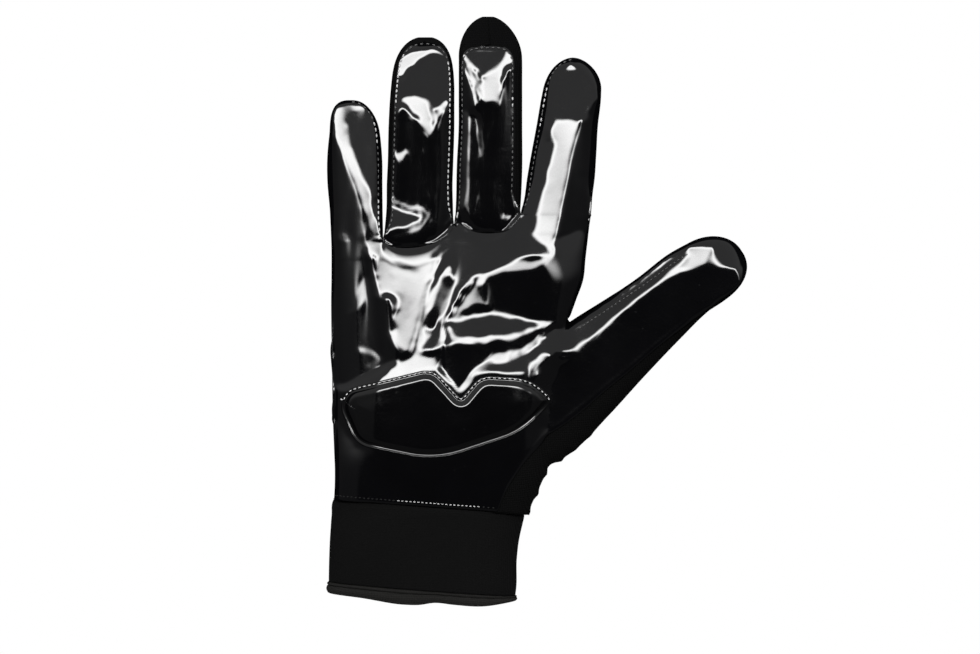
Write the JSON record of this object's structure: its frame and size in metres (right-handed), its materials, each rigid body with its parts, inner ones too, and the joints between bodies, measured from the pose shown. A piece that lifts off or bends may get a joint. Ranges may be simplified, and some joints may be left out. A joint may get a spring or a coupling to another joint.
{
  "type": "lineman football glove, right hand",
  "caption": "Padded right-hand football lineman glove with a gloss leather palm, a padded heel patch, matt fabric back and finger sides, and a plain slip-on cuff, lying palm up.",
  "frame": {"origin": "on the surface that the glove lies on, under the middle of its outline", "axes": "+X to the thumb side, +Y from the cuff to the fingertips, +Z out of the palm"},
  "size_m": [0.1793, 0.2532, 0.0355],
  "materials": {
    "palm_gloss": "high gloss black coated leather",
    "pad_gloss": "high gloss black coated leather over padding",
    "side_fabric": "matt black knit",
    "back_fabric": "matt black stretch knit",
    "cuff_knit": "matt black fine knit on foam",
    "hem_binding": "matt black folded binding"
  },
  "bodies": {
    "root": {"palm_leather": "palm_gloss", "ring_face": "palm_gloss", "middle_face": "palm_gloss", "heel_pad": "pad_gloss", "side_strip_pinky_ring": "side_fabric", "side_strip_ring_middle": "side_fabric", "side_strip_middle_index": "side_fabric", "back_panel": "back_fabric", "cuff": "cuff_knit", "cuff_hem": "hem_binding"}
  },
  "joints": []
}
